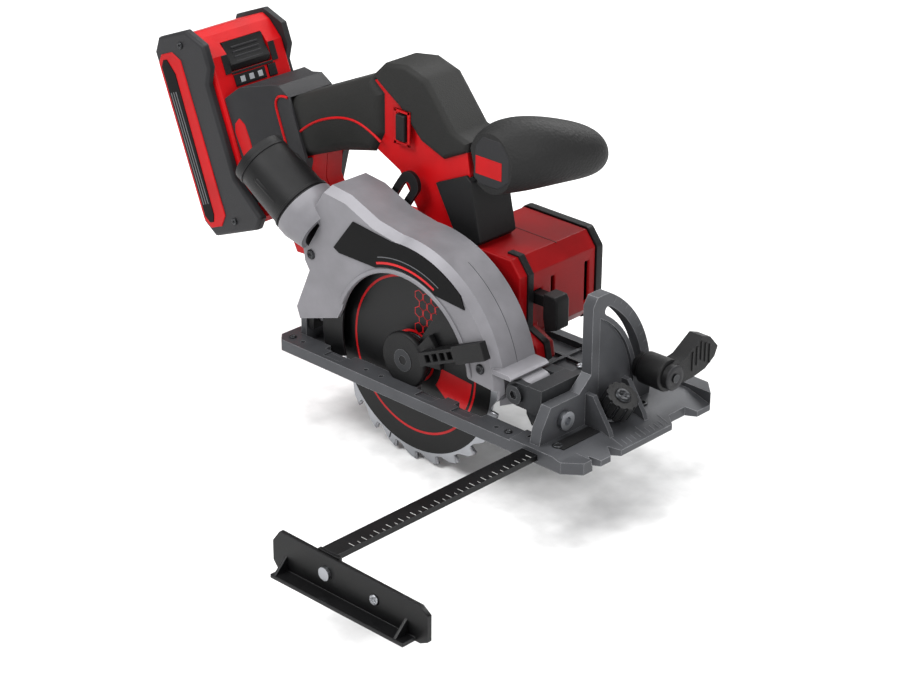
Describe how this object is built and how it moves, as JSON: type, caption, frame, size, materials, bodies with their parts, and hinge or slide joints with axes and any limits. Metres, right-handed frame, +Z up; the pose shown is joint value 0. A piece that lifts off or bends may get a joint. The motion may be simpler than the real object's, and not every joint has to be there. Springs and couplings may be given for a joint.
{
  "type": "circular saw",
  "caption": "Compact cordless circular saw with a tilting base plate, a swinging lower blade guard, a parallel guide and a slide-on battery.",
  "frame": {"origin": "on the underside of the base plate, in the middle of its length and width", "axes": "+X is the cutting direction, +Y the motor side, +Z up from the sole"},
  "size_m": [0.4628, 0.324, 0.253],
  "materials": {
    "guard_grey": "satin",
    "base_grey": "satin",
    "steel": "satin",
    "black_metal": "satin",
    "black_plastic": "matte",
    "soft_black": "matte",
    "red_plastic": "satin",
    "blade_steel": "satin",
    "copper": "satin",
    "badge_black": "gloss",
    "display": "gloss"
  },
  "bodies": {
    "base": {"base_plate": "base_grey", "sight_insert": "black_plastic", "bevel_quadrant": "base_grey", "rear_bracket": "base_grey"},
    "tilt": {"front_bracket": "base_grey", "bevel_pivot_bolts": "steel", "depth_arm": "black_metal", "bevel_clamp_bolt": "steel"},
    "bevel_handle": {"bevel_lever": "black_plastic"},
    "guide": {"guide_bar": "black_metal", "guide_fence": "black_metal", "fence_rivet": "steel"},
    "guide_clamp": {"guide_clamp_knob": "black_plastic", "guide_clamp_screw": "steel"},
    "head": {"upper_guard": "guard_grey", "guard_badge": "badge_black", "depth_pivot_bolt": "steel", "dust_port": "black_plastic", "gear_housing": "base_grey", "gear_cover": "base_grey", "ball_bearings": "steel", "motor_housing": "red_plastic", "housing_trim": "black_plastic", "motor_end_cap": "black_plastic", "stator": "copper", "handle_shell_right": "red_plastic", "handle_shell_left": "red_plastic", "grip_overmould": "soft_black", "hump_cover": "soft_black", "column_panel": "black_plastic", "aux_handle": "soft_black", "aux_handle_insert": "red_plastic", "trigger_switch": "black_plastic", "controller_board": "copper", "housing_screws": "steel", "battery_receiver": "black_plastic", "terminal_block": "black_plastic"},
    "blade_spindle": {"spindle": "steel", "drive_gear": "steel", "inner_flange": "steel", "blade": "blade_steel", "outer_flange": "steel", "arbor_bolt": "steel"},
    "idler": {"idler_gear": "steel"},
    "motor_rotor": {"rotor": "steel", "motor_pinion": "steel", "cooling_fan": "black_plastic"},
    "blade_cover": {"lower_guard": "black_metal", "guard_lever": "black_plastic"},
    "switch_trigger": {"trigger": "black_plastic"},
    "lock_off": {"lock_off_button": "black_plastic"},
    "spindle_lock": {"spindle_lock_button": "black_plastic"},
    "depth_clamp": {"depth_lever": "black_plastic"},
    "battery": {"battery_case": "red_plastic", "battery_bumpers": "black_plastic", "battery_cells": "steel", "battery_board": "copper", "charge_display": "display"},
    "latch": {"battery_latch": "black_plastic"},
    "charge_test": {"charge_button": "black_plastic"}
  },
  "joints": [
    {"name": "bevel_tilt", "type": "hinge", "parent": "base", "child": "tilt", "pos_m": [-0.01, -0.045, 0.0205], "axis": [1, 0, 0], "range_deg": [0, 45]},
    {"name": "bevel_lever_turn", "type": "hinge", "parent": "tilt", "child": "bevel_handle", "pos_m": [0.12, 0.02619, 0.03369], "axis": [1, 0, 0], "range_deg": [0, 75]},
    {"name": "guide_slide", "type": "slide", "parent": "base", "child": "guide", "axis": [0, 1, 0], "range_m": [-0.05, 0.14]},
    {"name": "guide_clamp_turn", "type": "hinge", "parent": "base", "child": "guide_clamp", "pos_m": [0.11, -0.009, 0.0095], "axis": [0.5, 0, 0.866], "range_deg": [0, 360]},
    {"name": "depth_adjust", "type": "hinge", "parent": "tilt", "child": "head", "pos_m": [0.075, -0.04, 0.0315], "axis": [0, 1, 0], "range_deg": [0, 32]},
    {"name": "blade_spin", "type": "hinge", "parent": "head", "child": "blade_spindle", "pos_m": [-0.02, -0.048, 0.0235], "axis": [0, 1, 0], "continuous": true},
    {"name": "idler_spin", "type": "hinge", "parent": "head", "child": "idler", "pos_m": [-0.00677, -0.03, 0.04471], "axis": [0, 1, 0], "continuous": true},
    {"name": "rotor_spin", "type": "hinge", "parent": "head", "child": "motor_rotor", "pos_m": [0.00381, 0.015, 0.06169], "axis": [0, 1, 0], "continuous": true},
    {"name": "lower_guard_swing", "type": "hinge", "parent": "head", "child": "blade_cover", "pos_m": [-0.02, -0.0427, 0.0235], "axis": [0, -1, 0], "range_deg": [0, 140], "stiffness_Nm_per_rad": 0.03, "springref_deg": 171.89},
    {"name": "trigger_pull", "type": "hinge", "parent": "head", "child": "switch_trigger", "pos_m": [-0.068, 0, 0.144], "axis": [0, 1, 0], "range_deg": [0, 8], "stiffness_Nm_per_rad": 0.3, "springref_deg": -11.46},
    {"name": "lock_off_push", "type": "slide", "parent": "head", "child": "lock_off", "axis": [0, 1, 0], "range_m": [-0.0025, 0.0025], "stiffness_N_per_m": 200},
    {"name": "spindle_lock_press", "type": "slide", "parent": "head", "child": "spindle_lock", "axis": [-1, 0, 0], "range_m": [0, 0.003], "stiffness_N_per_m": 300, "springref_m": -0.002},
    {"name": "depth_lever_turn", "type": "hinge", "parent": "head", "child": "depth_clamp", "pos_m": [-0.08177, -0.016, 0.03999], "axis": [0, -1, 0], "range_deg": [0, 40]},
    {"name": "battery_slide", "type": "slide", "parent": "head", "child": "battery", "axis": [-0.3714, 0, 0.9285], "range_m": [0, 0.075]},
    {"name": "battery_latch_press", "type": "slide", "parent": "battery", "child": "latch", "axis": [-0.9285, 0, -0.3714], "range_m": [0, 0.003], "stiffness_N_per_m": 300, "springref_m": -0.002},
    {"name": "charge_button_press", "type": "slide", "parent": "battery", "child": "charge_test", "axis": [-0.9285, 0, -0.3714], "range_m": [0, 0.0008], "stiffness_N_per_m": 400, "springref_m": -0.001}
  ],
  "couplings": [
    {"joint": "idler_spin", "follows": "blade_spin", "ratio": -1.8571},
    {"joint": "rotor_spin", "follows": "blade_spin", "ratio": 5.5714}
  ]
}
